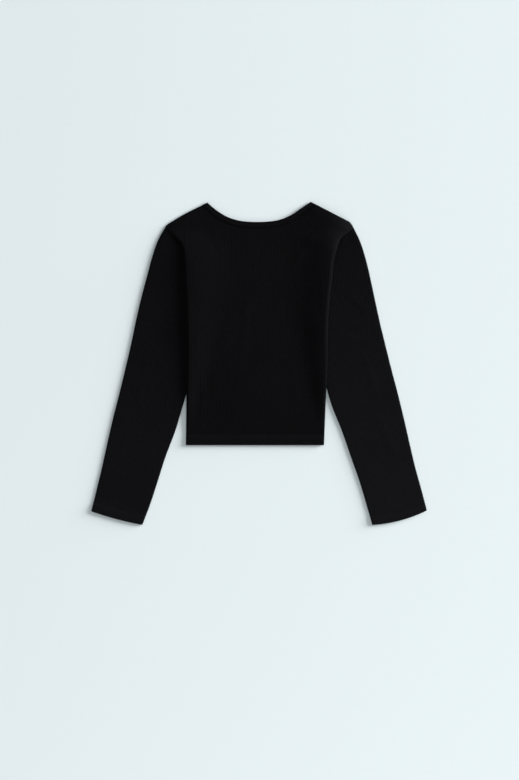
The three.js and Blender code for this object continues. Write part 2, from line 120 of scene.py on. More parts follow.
# Colours, each from its dark parts to its light ones
RIB_KNIT_COLOURS = [(0.00114, 0.00114, 0.00143), (0.0037, 0.0037, 0.0044)]
BAND_KNIT_COLOURS = [(0.0014, 0.0014, 0.0017), (0.0045, 0.0045, 0.0053)]
THREAD_COLOURS = [(0.0035, 0.0035, 0.004), (0.007, 0.007, 0.008)]
PAPER_COLOURS = [(0.775, 0.845, 0.86), (0.785, 0.855, 0.87)]
SHEEN_COLOUR = (0.86, 0.88, 1, 1)
SKY_COLOUR = (0.95, 0.98, 1, 1)

# Neck
BAND_WIDTH = 11.5
BAND_THICKNESS = 2
BAND_PROUD = 0.9  # how far the band stands above the back panel's wall
BAND_CORNER = 0.9  # the radius at the band's two edges
CORNER_POINTS = 5
FLAT_POINTS = 8  # from one corner to the other, with the ends of both
BAND_SEAM = 0.5  # the band closes the seam's gap, and reaches a little into the panel
BAND_RIB = 2.3
BAND_RIB_SAMPLES = 4
BAND_RIB_HEIGHT = 0.22  # as a share of the band's half thickness
SEAM_SHADE = 0.6  # painted shade: the cloth beside the neck seam is painted this much darker, for the seam's shade and its threads
SEAM_SHADE_WIDTH = 1.5
THIN_NECK = 0.45  # the share of a panel's thickness that is left at the neck seam
NECK_ROUND = 3
NECK_STEPS = 50
NECK_SAMPLES = 460
NECK_HALF_WIDTH = 102
FRONT_DROP = 75  # from the neck points down to the middle of the front neckline
FRONT_CURVE = 2.6  # the power of its curve
BAND_LEAN = math.radians(64)  # the shoulder seam's direction, from straight down
LEAN_CURVE = 1.7  # how late the band starts to lean towards the shoulder seam
NECK_CORNER = 0.9  # the shoulder seams start this far outside the band
NECK_RISE = 1.5  # and the top edge is this steep up to there
FOLD_STEPS = 12

# Where the body lies on the sleeves
BANK_WIDTH = 52  # a sleeve rises towards the body over this width
THINNEST_TUCK = 0.8
TUCK_MARGIN = 1.2  # a sleeve sinks from this far outside the body's edge
TUCK_ROOM = [0.9, 1.5]  # where the room under the body is this high, it fills it
TUCK_RUN = 1.5

# The hollow inside each sleeve
HOLLOW_FROM = 80
HOLLOW_INSET = 3
HOLLOW_STEP = 12
HOLLOW_ABOVE = 3.3  # the two layers part where the sleeve is at least this high
HOLLOW_ROUND = 1.5
LEAST_HOLLOW = 0.2  # half the room between the two layers is at least this
THIN_HOLLOW = 0.15  # and this share of it is left at the hollow's two edges

HEM_Y = -163
UNDERARM_Y = 212
TIP_X = 187

# The body's edge on each side: the side edge up to the underarm, then the armhole
SIDES = {
    "y": [-163, -73, 0, 79, 127, 168, 212, 226, 239, 248, 256, 262, 269],
    "left": [146, 145, 144.8, 145.2, 145.5, 146.6, 149, 151.4, 156.4, 164, 172.5, 179.3, 187],
    "right": [130, 133.6, 136.6, 137.8, 140.8, 145.8, 150.6, 154.8, 158.8, 162.8, 170, 178.2, 187],
}

# How high a tucked sleeve lifts the body's edge, and how far in from the edge the lift dies out
LIFTS = {
    "y": [-145, -125, -90, -57, -35, 0, 60, 105, 140, 170, 205, 222, 236, 250, 262, 274],
    "height": [0, 0.5, 2.2, 4, 4.8, 5.4, 5.6, 5.6, 5.6, 5.6, 5.4, 4.8, 3.6, 2.2, 0.8, 0],
    "spread": [20, 22, 26, 34, 42, 54, 72, 86, 96, 100, 104, 104, 98, 88, 70, 50],
}

# The shoulder seams, from the neck out to the tips
SHOULDERS = {
    "x": [100, 114, 127, 157, 176, 183, 187],
    "left": [321.6, 316.2, 310.1, 294.2, 282.6, 277.9, 273.6],
    "right": [324.4, 318, 311.2, 295.6, 285.8, 281.4, 276],
}

# The edge of the back neck
NECKLINE = {
    "x": [0, 18, 36, 52, 68, 84, 102],
    "left": [283.1, 283.5, 285.2, 289.2, 295.8, 305.9, 320.4],
    "right": [283.1, 284, 286.3, 291.2, 298.8, 310.2, 321.8],
}

# Each sleeve, in sections from the shoulder to the cuff: the folded outer edge, and the inner edge
SLEEVES = {
    "left": {
        "side": -1,
        "fade": 0.0011,  # painted light: how much paler the cloth is painted with each millimetre towards the cuff
        "bow": 2.2,
        "bank": 0.25,  # how far it rises towards the body, as a share of the body's lift
        "creases": [
            {"x": -215, "y": 92, "turn": -52, "length": 30, "width": 7, "height": 0.35},
            {"x": -196, "y": 48, "turn": -66, "length": 34, "width": 6, "height": -0.3},
            {"x": -232, "y": -36, "turn": -14, "length": 70, "width": 9, "height": 0.3},
            {"x": -270, "y": -170, "turn": -20, "length": 60, "width": 8, "height": 0.25},
        ],
        "sections": {
            "down": [0, 16, 34, 67, 92, 140, 190, 240, 290, 340, 390, 440, 490, 540, 582],
            "out_x": [187.16, 198, 205.2, 215.6, 221.8, 234.6, 245.8, 255.8, 267, 278.6, 290.8, 302,
                      313.4, 325, 335.2],
            "out_y": [272.8, 254, 238, 206, 182, 134, 86, 38, -10, -58, -106, -154, -206, -254, -295.2],
            "in_x": [124, 106, 97, 91, 91, 97, 108, 122, 137.2, 152.2, 167, 186, 202, 217.3, 233],
            "in_y": [221, 203, 187, 165, 148, 108, 62, 14, -35, -84, -134, -184, -234, -281, -322.4],
        },
    },
    "right": {
        "side": 1,
        # painted light towards the cuff, stronger on this side nearer the light
        "fade": 0.00205,
        "bow": 5.8,
        "bank": 0.1,
        "creases": [
            {"x": 200, "y": 120, "turn": 48, "length": 32, "width": 7, "height": 0.35},
            {"x": 186, "y": 66, "turn": 62, "length": 30, "width": 6, "height": -0.3},
            {"x": 222, "y": -20, "turn": 16, "length": 66, "width": 9, "height": 0.35},
            {"x": 258, "y": -150, "turn": 24, "length": 58, "width": 8, "height": 0.3},
        ],
        "sections": {
            "down": [0, 16, 34, 67, 92, 140, 190, 240, 290, 340, 390, 440, 490, 540, 582],
            "out_x": [187.16, 198, 204.6, 214.4, 220.2, 230.6, 241, 252.6, 264.6, 277.2, 289, 300,
                      312.2, 325.4, 335.6],
            "out_y": [275.2, 254, 238, 206, 182, 134, 86, 38, -10, -58, -106, -154, -206, -254, -293.6],
            "in_x": [122, 104, 95, 89, 88, 93, 104, 117, 131.5, 145.6, 165.6, 183, 200.5, 214.8, 226.6],
            "in_y": [221, 203, 187, 165, 148, 108, 62, 14, -35, -84, -134, -184, -234, -281, -322.4],
        },
    },
}
BOW_RUN = 150  # a cuff's edge bows out over this last length of the sleeve
SLEEVE_PAINTED_LIGHT = 0.05  # painted light: a sleeve is painted this much paler than the body
CAP_GAP = 0.15  # between a sleeve's cap and the armhole
CAP_FREE = [160, 172]  # further out than this the cap lies beside the body and no longer under it
CAP_RUN = 20  # the sections settle to straight ones over this length
CREASED_FROM = [0.7, 0.9]  # a sleeve has creases where it is this share of its laid height

# Soft folds that run up the middle of the back, and the length over which their ends die out
SWELL_END = 90
SWELLS = [
    {"x": -45, "width": 62, "height": 3.2, "from": -160, "to": 262},
    {"x": 27, "width": 46, "height": 1.1, "from": -150, "to": 255},
    {"x": -62, "width": 26, "height": 0.5, "from": -60, "to": 235},
]

# The back panel's side edges are rolled up: how high on each side, how far inside the edge the crest
# is, and how far inside the crest the roll dies out
ROLLS = {
    "y": [-163, -120, -60, 0, 40, 71, 104, 137, 180, 215, 235, 255, 268],
    "left": [0.4, 1, 2.4, 3.8, 4.2, 4.4, 4.2, 4.2, 3.6, 3.1, 2.7, 2, 1.4],
    "right": [0.4, 0.5, 0.7, 1, 1.5, 2.2, 1.8, 2.6, 2.3, 2.8, 2.8, 2, 1.4],
    "left_inside": [5, 5, 5, 6, 6, 5.5, 4.5, 4, 3, 3, 5, 10, 14],
    "right_inside": [5, 5, 5, 6, 7, 7, 7, 7, 7.5, 8.5, 11, 15, 18],
    "left_fall": [60, 66, 84, 104, 110, 110, 108, 104, 102, 100, 98, 90, 80],
    "right_fall": [50, 50, 50, 50, 50, 46, 54, 48, 58, 54, 64, 80, 90],
}
ROLL_FADE = 16  # the rolls die out over this width at the shoulder seams

# At the right tip both panels rise steeply from the armhole, and sink slowly towards the neck
TIP_HEIGHT = 3.4
TIP_RISE = 30  # the width of the rise
TIP_FALL = 110  # and of the fall
TIP_FROM = [216, 262]  # from no rise to all of it, up the side
TIP_Y = 262
TIP_HIGHLIGHT = 1.2  # painted highlight: the cloth at the right tip is painted this much paler, where light from the right catches its slope
TIP_HIGHLIGHT_REACH = 72

# Smaller creases: a place, the way they run in degrees from +Y, half their length and width, a height
CREASE_FULL = 0.3  # a crease keeps its height over this share of its half length
BACK_CREASES = [
    {"x": 92, "y": 232, "turn": -38, "length": 46, "width": 9, "height": 0.5},
    {"x": -84, "y": 250, "turn": 22, "length": 34, "width": 8, "height": 0.3},
    {"x": 118, "y": 120, "turn": 4, "length": 70, "width": 6, "height": -0.3},
    {"x": -30, "y": 60, "turn": -6, "length": 90, "width": 10, "height": 0.35},
    {"x": 70, "y": -40, "turn": 8, "length": 60, "width": 9, "height": 0.4},
    {"x": -112, "y": -60, "turn": -5, "length": 52, "width": 7, "height": 0.35},
]

FRONT_CREASES = [
    {"x": 20, "y": 120, "turn": 10, "length": 80, "width": 10, "height": 0.4},
    {"x": -48, "y": -30, "turn": -8, "length": 70, "width": 9, "height": 0.35},
    {"x": 60, "y": 20, "turn": 14, "length": 54, "width": 8, "height": 0.3},
]

# Camera, light and floor, in metres and watts
CAMERA_PLACE = (1.1 * MM, -52.8 * MM, 3.0)
LENS = 69.2
SENSOR_WIDTH = 36
CLIP = [0.05, 20]
KEY = {"place": (16.2, 6, 3.6), "size": 10, "power": 8800}
FILL = {"place": (0.3, -3.5, 2), "size": 2, "power": 28}
SKY_STRENGTH = 0.39
FLOOR_REACH = 8
FLOOR_Z = -0.05 * MM


# Small helpers

def smooth(value, low, high):
    share = np.clip((value - low) / (high - low), 0, 1)
    return share * share * (3 - 2 * share)


def curves_of(rows, along):
    """The columns of a table as smooth functions of one of them, held at the table's ends."""
    places = np.array(rows[along], float)

    def curve(values):
        slopes = np.diff(values) / np.diff(places)
        bends = np.concatenate(([slopes[0]], (slopes[:-1] + slopes[1:]) / 2, [slopes[-1]]))

        def at(where):
            where = np.clip(where, places[0], places[-1])
            i = np.clip(np.searchsorted(places, where, "right") - 1, 0, len(slopes) - 1)
            step = places[i + 1] - places[i]
            t = (where - places[i]) / step
            start = values[i] + step * bends[i] * t * (1 - t) ** 2 - values[i] * (3 - 2 * t) * t * t
            end = values[i + 1] * (3 - 2 * t) * t * t - step * bends[i + 1] * t * t * (1 - t)
            return start + end

        return at

    return {name: curve(np.array(values, float)) for name, values in rows.items()}


def by_side(curves, x, at):
    return np.where(x < 0, curves["left"](at), curves["right"](at))


def rounded(distance, width):
    """A quarter round: 0 at an edge, and 1 from this width inside it."""
    return np.sqrt(1 - (1 - np.clip(distance / width, 0, 1)) ** 2)


def falling(share):
    """From 1 to 0 as a share goes from 0 to 1, level at both ends."""
    return 0.5 * (1 + np.cos(np.pi * np.clip(share, 0, 1)))


sides = curves_of(SIDES, "y")
lifts = curves_of(LIFTS, "y")
shoulders = curves_of(SHOULDERS, "x")
neckline = curves_of(NECKLINE, "x")
rolls = curves_of(ROLLS, "y")


# Heights that the pieces share

def inward_of(x, y):
    return by_side(sides, x, y) - np.abs(x)


def lift_at(x, y):
    """How far the tucked sleeves lift the body's underside."""
    inward = inward_of(x, y)
    lift = np.maximum(0, lifts["height"](y)) * falling(inward / lifts["spread"](y))
    rise = np.sin(np.clip(inward / TIP_RISE, 0, 1) * np.pi / 2)
    fall = falling((inward - TIP_RISE) / TIP_FALL)
    return lift + np.where(x > 0, TIP_HEIGHT * rise * fall * smooth(y, *TIP_FROM), 0)


def turn_at(above, width):
    """How far a turned hem thickens one wall, this far above its edge."""
    return TURNED * (1 - smooth(above, width, width + TURN_STEP))


def swell_at(x, y):
    height = 0
    for fold in SWELLS:
        across = (x - fold["x"]) / fold["width"]
        rise = smooth(y, fold["from"], fold["from"] + SWELL_END)
        fall = 1 - smooth(y, fold["to"] - SWELL_END, fold["to"])
        height = height + fold["height"] * rise * fall * np.exp(-(across**2))
    return height


def roll_at(x, y):
    """How far a rolled side edge lifts the back panel."""
    inward = inward_of(x, y)
    inside = np.where(x < 0, rolls["left_inside"](y), rolls["right_inside"](y))
    width = np.where(x < 0, rolls["left_fall"](y), rolls["right_fall"](y))
    rise = 1 - np.clip(1 - inward / inside, 0, 1) ** 2
    return by_side(rolls, x, y) * rise * falling((inward - inside) / width)


def creases_at(x, y, creases):
    height = np.zeros_like(x)
    for crease in creases:
        turn = math.radians(crease["turn"])
        dx = x - crease["x"]
        dy = y - crease["y"]
        across = dx * math.cos(turn) + dy * math.sin(turn)
        along = dy * math.cos(turn) - dx * math.sin(turn)
        fade = 1 - smooth(np.abs(along), CREASE_FULL * crease["length"], crease["length"])
        height += crease["height"] * fade * np.exp(-((across / crease["width"]) ** 2))
    return height


# Closed meshes from grids of points

class Shell:
    """The points, knit places and faces of one closed piece."""

    def __init__(self):
        self.points = []
        self.knit = []
        self.painted_shadings = []
        self.faces = []
        self.count = 0

    def add(self, points, knit, painted_shading=0):
        """Takes a grid of points, with how much paler or darker the cloth is painted there as painted
        light and shade, and gives their numbers.
        """
        numbers = self.count + np.arange(points.shape[0] * points.shape[1]).reshape(points.shape[:2])
        self.count += numbers.size
        self.points.append(points.reshape(-1, 3))
        self.knit.append(knit.reshape(-1, 2))
        self.painted_shadings.append(np.broadcast_to(painted_shading, points.shape[:2]).ravel())
        return numbers

    def two_sided(self, upper, under, present):
        """Two grids that face away from each other, joined by a wall all round."""
        quads = np.stack([upper[:-1, :-1], upper[:-1, 1:], upper[1:, 1:], upper[1:, :-1]], axis=-1)
        quads = quads[present]
        offset = under[0, 0] - upper[0, 0]
        starts = quads.ravel()
        ends = np.roll(quads, -1, axis=1).ravel()
        outline = ~np.isin(starts * self.count + ends, ends * self.count + starts)
        a, b = starts[outline], ends[outline]
        wall = np.stack([b, a, a + offset, b + offset], axis=-1)
        self.faces += [quads, quads[:, ::-1] + offset, wall]

    def tube(self, loops, inside_out=False):
        """Closed loops of points, one after the other."""
        after = np.roll(loops, -1, axis=1)
        quads = np.stack([loops[:-1], after[:-1], after[1:], loops[1:]], axis=-1).reshape(-1, 4)
        self.faces.append(quads[:, ::-1] if inside_out else quads)

    def lid(self, loop, inside_out=False):
        """Closes a flat loop, whose first half lies above its second half."""
        half = len(loop) // 2
        top = loop[:half]
        bottom = loop[half:][::-1]
        quads = np.stack([top[1:], top[:-1], bottom[:-1], bottom[1:]], axis=-1)
        self.faces.append(quads[:, ::-1] if inside_out else quads)

    def rim(self, outer, inner):
        """The edge of an opening, between its outer and its inner loop."""
        quads = np.stack([outer, np.roll(outer, -1), np.roll(inner, -1), inner], axis=-1)
        self.faces.append(quads)

    def piece(self, name, material, slot, node=None):
        """Makes the mesh, with its faces pointing out, and puts it on the part."""
        points = np.concatenate(self.points) * MM
        knit = np.concatenate(self.knit)
        used, quads = np.unique(np.concatenate(self.faces), return_inverse=True)
        quads = quads.reshape(-1, 4)
        points = points[used]
        knit = knit[used]
        painted_shadings = np.concatenate(self.painted_shadings)[used]
        a, b, c, d = (points[quads[:, i]] for i in range(4))
        volume = (a * np.cross(b, c)).sum() + (a * np.cross(c, d)).sum()
        if volume < 0:
            quads = quads[:, ::-1]
        mesh = bpy.data.meshes.new(name)
        mesh.from_pydata(points.tolist(), [], quads.tolist())
        mesh.shade_smooth()
        places = mesh.uv_layers.new(name="knit")
        corners = np.zeros(len(mesh.loops), np.int32)
        mesh.loops.foreach_get("vertex_index", corners)
        places.data.foreach_set("uv", knit[corners].astype(np.float32).ravel())
        # the painted light and shade of each point, which the knit material reads
        painted_shading = mesh.attributes.new("painted_shading", "FLOAT", "POINT")
        painted_shading.data.foreach_set("value", painted_shadings.astype(np.float32))
        return place(name, mesh, material, slot, node)


def place(name, mesh, material, slot, node=None):
    """Puts a mesh into the scene as a piece of the part."""
    piece = bpy.data.objects.new(name, mesh)
    bpy.context.scene.collection.objects.link(piece)
    mesh.materials.append(material)
    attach(piece, "root")
    if node:
        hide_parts(node)
    return piece


# Materials

def add_node(tree, kind, inputs=(), **settings):
    """A shader node: inputs are values or sockets by their number or name."""
    node = tree.nodes.new(kind)
    for key, value in settings.items():
        setattr(node, key, value)
    for key, value in dict(inputs).items():
        if isinstance(value, bpy.types.NodeSocket):
            tree.links.new(value, node.inputs[key])
        else:
            node.inputs[key].default_value = value
    return node


def add_math(tree, operation, *values):
    return add_node(tree, "ShaderNodeMath", enumerate(values), operation=operation).outputs[0]


def ramp(tree, share, colours):
    """A colour between two, by a share from 0 to 1."""
    dark, light = colours
    node = add_node(tree, "ShaderNodeValToRGB", {"Fac": share})
    node.color_ramp.elements[0].color = (*dark, 1)
    node.color_ramp.elements[1].color = (*light, 1)
    return node.outputs["Color"]


def noise(tree, place, scale, detail, roughness):
    inputs = {"Vector": place, "Scale": scale, "Detail": detail, "Roughness": roughness}
    return add_node(tree, "ShaderNodeTexNoise", inputs).outputs["Fac"]


def new_material(name, roughness, specular):
    material = bpy.data.materials.new(name)
    material.use_nodes = True
    shader = material.node_tree.nodes["Principled BSDF"]
    shader.inputs["Roughness"].default_value = roughness
    shader.inputs["Specular IOR Level"].default_value = specular
    return material, material.node_tree, shader


def knit_material(name, colours):
    """Black rib knit: stitches as rows of small vees, with a fine fuzz of fibres over them."""
    material, tree, shader = new_material(name, roughness=0.95, specular=0.05)
    shader.inputs["Sheen Weight"].default_value = 0.01
    shader.inputs["Sheen Roughness"].default_value = 0.5
    shader.inputs["Sheen Tint"].default_value = SHEEN_COLOUR
    uv = add_node(tree, "ShaderNodeUVMap", uv_map="knit").outputs[0]
    knit = add_node(tree, "ShaderNodeSeparateXYZ", {0: uv})
    wale = add_math(tree, "FRACT", knit.outputs["X"])
    slant = add_math(tree, "ABSOLUTE", add_math(tree, "SUBTRACT", wale, 0.5))
    along = add_math(tree, "MULTIPLY_ADD", slant, VEE_SLANT, knit.outputs["Y"])
    loop = add_math(tree, "SINE", add_math(tree, "MULTIPLY", along, 2 * math.pi))
    strand = add_math(tree, "SINE", add_math(tree, "MULTIPLY", wale, 2 * math.pi))
    strand = add_math(tree, "ABSOLUTE", strand)
    loop_height = add_math(tree, "MULTIPLY_ADD", loop, LOOP_SHARE, 1 - LOOP_SHARE)
    stitch = add_math(tree, "MULTIPLY", strand, loop_height)
    cloth_place = add_node(tree, "ShaderNodeTexCoord").outputs["Object"]
    fuzz = noise(tree, cloth_place, scale=900, detail=3, roughness=0.6)
    wear = noise(tree, cloth_place, scale=14, detail=2, roughness=0.5)
    height = add_math(tree, "MULTIPLY_ADD", fuzz, FUZZ_HEIGHT, stitch)
    bump = add_node(tree, "ShaderNodeBump", {"Height": height, "Strength": 0.5, "Distance": 0.25 * MM})
    worn = add_math(tree, "MULTIPLY", wear, WEAR_TONE)
    uneven = add_math(tree, "MULTIPLY_ADD", fuzz, FUZZ_TONE, worn)
    # painted shade in the knit's hollows, plus random fuzz and wear tone
    share = add_math(tree, "MULTIPLY_ADD", stitch, STITCH_SHADE, uneven)
    # painted light and shade: this attribute scales the knit's colour, paler for painted highlights and
    # light, darker for painted shade
    painted_shading = add_node(tree, "ShaderNodeAttribute", attribute_name="painted_shading").outputs["Fac"]
    strength = add_math(tree, "ADD", painted_shading, 1.0)
    colour = add_node(tree, "ShaderNodeVectorMath", {0: ramp(tree, share, colours)}, operation="SCALE")
    tree.links.new(strength, colour.inputs["Scale"])
    tree.links.new(colour.outputs[0], shader.inputs["Base Color"])
    tree.links.new(bump.outputs[0], shader.inputs["Normal"])
    return material


def thread_material():
    """Twisted sewing thread, a little smoother than the knit."""
    material, tree, shader = new_material("black_thread", roughness=0.7, specular=0.15)
    cloth_place = add_node(tree, "ShaderNodeTexCoord").outputs["Object"]
    twisted = {"Vector": cloth_place, "Scale": 700.0, "Distortion": 1.0}
    wave = add_node(tree, "ShaderNodeTexWave", twisted, bands_direction="DIAGONAL")
    twist = wave.outputs["Fac"]
    bump = add_node(tree, "ShaderNodeBump", {"Height": twist, "Strength": 0.4, "Distance": 0.1 * MM})
    # painted shade: the grooves of the twist, where the bump is low, are painted darker
    tree.links.new(ramp(tree, twist, THREAD_COLOURS), shader.inputs["Base Color"])
    tree.links.new(bump.outputs[0], shader.inputs["Normal"])
    return material


rib_knit = knit_material("black_rib_knit", RIB_KNIT_COLOURS)
band_knit = knit_material("black_fine_rib_knit", BAND_KNIT_COLOURS)
thread = thread_material()


# Neck

def neck_point(panel, share):
    """The neck's edge at a share from -1 to 1 of its half width, and the way the band lies from it."""
    x = NECK_HALF_WIDTH * share
    away = np.abs(share)
    y = by_side(neckline, x, np.abs(x))
    if panel == "front":
        ends = [float(neckline[side](NECK_HALF_WIDTH)) for side in ("left", "right")]
        level = ends[0] + (ends[1] - ends[0]) * (1 + share) / 2
        y = level - FRONT_DROP * (1 - away**FRONT_CURVE)
    lean = BAND_LEAN * away**LEAN_CURVE
    edge = np.stack([x, y], axis=-1)
    outward = np.stack([np.sign(share) * np.sin(lean), -np.cos(lean)], axis=-1)
    return edge, outward


def neck_seam(panel):
    """The seam between a panel and the band, as a height over x."""
    share = np.linspace(-1, 1, 2 * NECK_STEPS + 1)
    edge, outward = neck_point(panel, share)
    seam = edge + outward * (BAND_WIDTH + SEAM_GAP)
    return curves_of({"x": seam[:, 0], "y": seam[:, 1]}, "x")["y"], seam[-1, 0]


neck_seams = {panel: neck_seam(panel) for panel in ("back", "front")}


def top_of(panel, x):
    """The top edge of a panel: its shoulder seams, with the neck between them."""
    seam, end = neck_seams[panel]
    past = np.maximum(0, np.abs(x) - end)
    return np.where(past < NECK_CORNER, seam(x) + NECK_RISE * past, by_side(shoulders, x, np.abs(x)))


# Body

def body_columns():
    """Columns of points, in plain columns from the middle: even, with more at the side edges."""
    reach = (BODY_COLUMNS + WING_COLUMNS) * 2 * SAMPLES
    even = np.arange(-reach, reach + 1) / (2 * SAMPLES)
    near_edge = BODY_COLUMNS - np.array(SIDE_COLUMNS)
    return np.unique(np.concatenate([even, near_edge, -near_edge]))


def spread_rows(start, end, step):
    return np.linspace(start, end, max(1, round((end - start) / step)) + 1)


def hem_rows(stitches):
    """Distances from a turned edge: close at the edge, at its two rows of stitches and at its end."""
    low, high = stitches
    turned = [low - BELOW_STITCHES, *(high + step for step in ABOVE_STITCHES), HEM_ZONE - ZONE_END]
    return np.unique(np.concatenate([HEM_EDGE_ROWS, low + GROOVE_ROWS, high + GROOVE_ROWS, turned]))


def groove_at(above, stitches):
    """How deep a place lies in a hem's two grooves, from 0 to 1."""
    return sum(np.exp(-(((above - row) / GROOVE_WIDTH) ** 2)) for row in stitches)


def body_plan(panel):
    """The points of a panel's plan, with the column of each, and which cells of the grid exist."""
    columns = body_columns()
    even_rows = spread_rows(HEM_Y + HEM_ZONE, UNDERARM_Y, ROW_STEP)[:-1]
    low_rows = np.concatenate([HEM_Y + hem_rows(HEM_STITCHES), even_rows])
    near = np.array(EDGE_STEPS)
    middle = np.linspace(0, 1, YOKE_ROWS + 2)[1:-1]
    in_body = np.minimum(np.abs(columns) / BODY_COLUMNS, 1)
    in_wing = np.maximum(np.abs(columns) - BODY_COLUMNS, 0) / WING_COLUMNS

    def across(y):
        half = by_side(sides, columns, y)
        return np.sign(columns) * (half * in_body + (TIP_X - half) * in_wing)

    low_x = across(low_rows[:, None])
    low_y = np.broadcast_to(low_rows[:, None], low_x.shape)
    x = across(np.full(1, UNDERARM_Y))
    bottom = np.where(in_wing > 0, armhole_at(x), UNDERARM_Y)
    top = top_of(panel, x)
    band = np.minimum(EDGE_BAND, (top - bottom) * MOST_BAND)
    scale = band / EDGE_BAND
    rows = [bottom + step * scale for step in near]
    rows += [bottom + band + (top - bottom - 2 * band) * share for share in middle]
    rows += [top - step * scale for step in near[::-1]]
    yoke_y = np.array(rows)
    plan_x = np.concatenate([low_x, np.broadcast_to(x, yoke_y.shape)])
    plan_y = np.concatenate([low_y, yoke_y])
    present = np.ones((len(plan_x) - 1, len(columns) - 1), bool)
    outer_cells = np.abs(columns[:-1] + columns[1:]) / 2 > BODY_COLUMNS
    present[: len(low_rows), outer_cells] = False
    return plan_x, plan_y, np.broadcast_to(columns, plan_x.shape), present


def armhole_at(x):
    """How far up the armhole is at this distance from the middle."""
    y = np.linspace(UNDERARM_Y, SIDES["y"][-1], ARMHOLE_SAMPLES)
    left = np.interp(np.abs(x), sides["left"](y), y)
    right = np.interp(np.abs(x), sides["right"](y), y)
    return np.where(x < 0, left, right)


def rib_at(phase):
    """A rib's section over its phase, 1 for each rib: 0 in the valleys and 1 on the crown."""
    return np.abs(np.sin(np.pi * phase)) ** RIB_ROUNDNESS


def body_panel(panel):
    """One panel of the body, with the lines that its stitches follow."""
    x, y, column, present = body_plan(panel)
    above = y - HEM_Y
    inward = inward_of(x, y)
    at_seam = smooth(y, *SEAM_ROWS)
    edge = EDGE_ROUND + (SEAM_ROUND - EDGE_ROUND) * at_seam
    thin = THIN_EDGE + (THIN_SEAM - THIN_EDGE) * at_seam
    from_top = top_of(panel, x) - y
    turn = turn_at(above, BODY_TURN)
    middle = lift_at(x, y) + WALL + INSIDE_GAP / 2 + turn
    gap_near_edge = SEAM_GAP + (INSIDE_GAP - SEAM_GAP) * inward / EDGE_ROUND
    gap = np.where(inward < EDGE_ROUND, gap_near_edge, INSIDE_GAP) / 2
    in_neck = np.abs(x) < neck_seams[panel][1]
    neck_round = THIN_NECK + (1 - THIN_NECK) * rounded(from_top, NECK_ROUND)
    top_round = np.where(in_neck, neck_round, rounded(from_top, EDGE_ROUND))
    shape = (thin + (1 - thin) * rounded(inward, edge)) * (THIN_EDGE + (1 - THIN_EDGE) * top_round)
    groove = groove_at(above, HEM_STITCHES)
    rib = rib_at(column * 2) * (1 - groove)
    knit = np.stack([column * 2 * WALES_PER_RIB, y / COURSE], axis=-1)
    if panel == "back":
        inside = middle + gap + swell_at(x, y) + roll_at(x, y) * smooth(from_top, 0, ROLL_FADE)
        outside = inside + (WALL + turn + RIB_HEIGHT * rib - GROOVE_DEPTH * groove) * shape
        outside = outside + creases_at(x, y, BACK_CREASES) * shape
    else:
        inside = middle - gap
        outside = inside - (WALL + turn - RIB_HEIGHT * (1 - rib) - GROOVE_DEPTH * groove) * shape
        outside = outside + creases_at(x, y, FRONT_CREASES) * shape
    centre = (inside + outside) / 2
    hem = np.maximum(rounded(above, HEM_ROUND), THIN_HEM)
    inside = centre + (inside - centre) * hem
    outside = centre + (outside - centre) * hem
    upper, under = (outside, inside) if panel == "back" else (inside, outside)
    shell = Shell()
    sewn = [np.argmin(np.abs(above[:, 0] - row)) for row in HEM_STITCHES]
    seen = np.stack([x, y, outside], axis=-1)[sewn]
    seen = seen[:, np.abs(column[0]) <= BODY_COLUMNS]
    rows = [(row, 1 if panel == "back" else -1) for row in seen]
    # painted shade along the neck seam
    painted_shading = np.where(in_neck, -SEAM_SHADE * np.exp(-((from_top / SEAM_SHADE_WIDTH) ** 2)), 0)
    # painted highlight on the right shoulder tip, fading out over its reach
    painted_shading = painted_shading + TIP_HIGHLIGHT * falling(np.hypot(x - TIP_X, y - TIP_Y) / TIP_HIGHLIGHT_REACH)
    # painted highlight over the turned hem
    painted_shading = painted_shading + HEM_HIGHLIGHT * turn / TURNED
    upper = shell.add(np.stack([x, y, upper], axis=-1), knit, painted_shading)
    under = shell.add(np.stack([x, y, under], axis=-1), knit, painted_shading)
    shell.two_sided(upper, under, present)
    return shell.piece(panel + "_cloth", rib_knit, "rib_knit", panel + "_panel"), rows


# Sleeves

def sleeve_rows(length):
    """How far down the sleeve each row of points lies, closer at the cap and at the cuff."""
    cuff = length - hem_rows(CUFF_STITCHES)[::-1]
    return np.concatenate([EDGE_STEPS, spread_rows(CAP_ROWS, length - HEM_ZONE, ROW_STEP), cuff])


def sleeve_plan(sleeve, down, across):
    """The plan of a sleeve, where across runs from 0 at the outer fold to 1 at the inner edge."""
    curves = sleeve["curves"]
    side = sleeve["side"]
    length = sleeve["sections"]["down"][-1]
    out = np.stack([curves["out_x"](down) * side, curves["out_y"](down)], axis=-1)
    inner = np.stack([curves["in_x"](down) * side, curves["in_y"](down)], axis=-1)
    chord = inner - out
    width = np.hypot(chord[..., 0], chord[..., 1])
    bow = sleeve["bow"] * 4 * across * (1 - across) * smooth(down, length - BOW_RUN, length)
    towards_cuff = np.stack([chord[..., 1], -chord[..., 0]], axis=-1) * -side / width[..., None]
    point = out + chord * across[..., None] + towards_cuff * bow[..., None]
    x = point[..., 0]
    y = point[..., 1]
    beside = smooth(np.abs(x), *CAP_FREE) * (np.abs(x) < TIP_X + CAP_GAP)
    beside = beside * (1 - smooth(down, 0, CAP_RUN))
    y = y + beside * np.minimum(0, armhole_at(x) - CAP_GAP - y)
    return x, y, across * width, (1 - across) * width


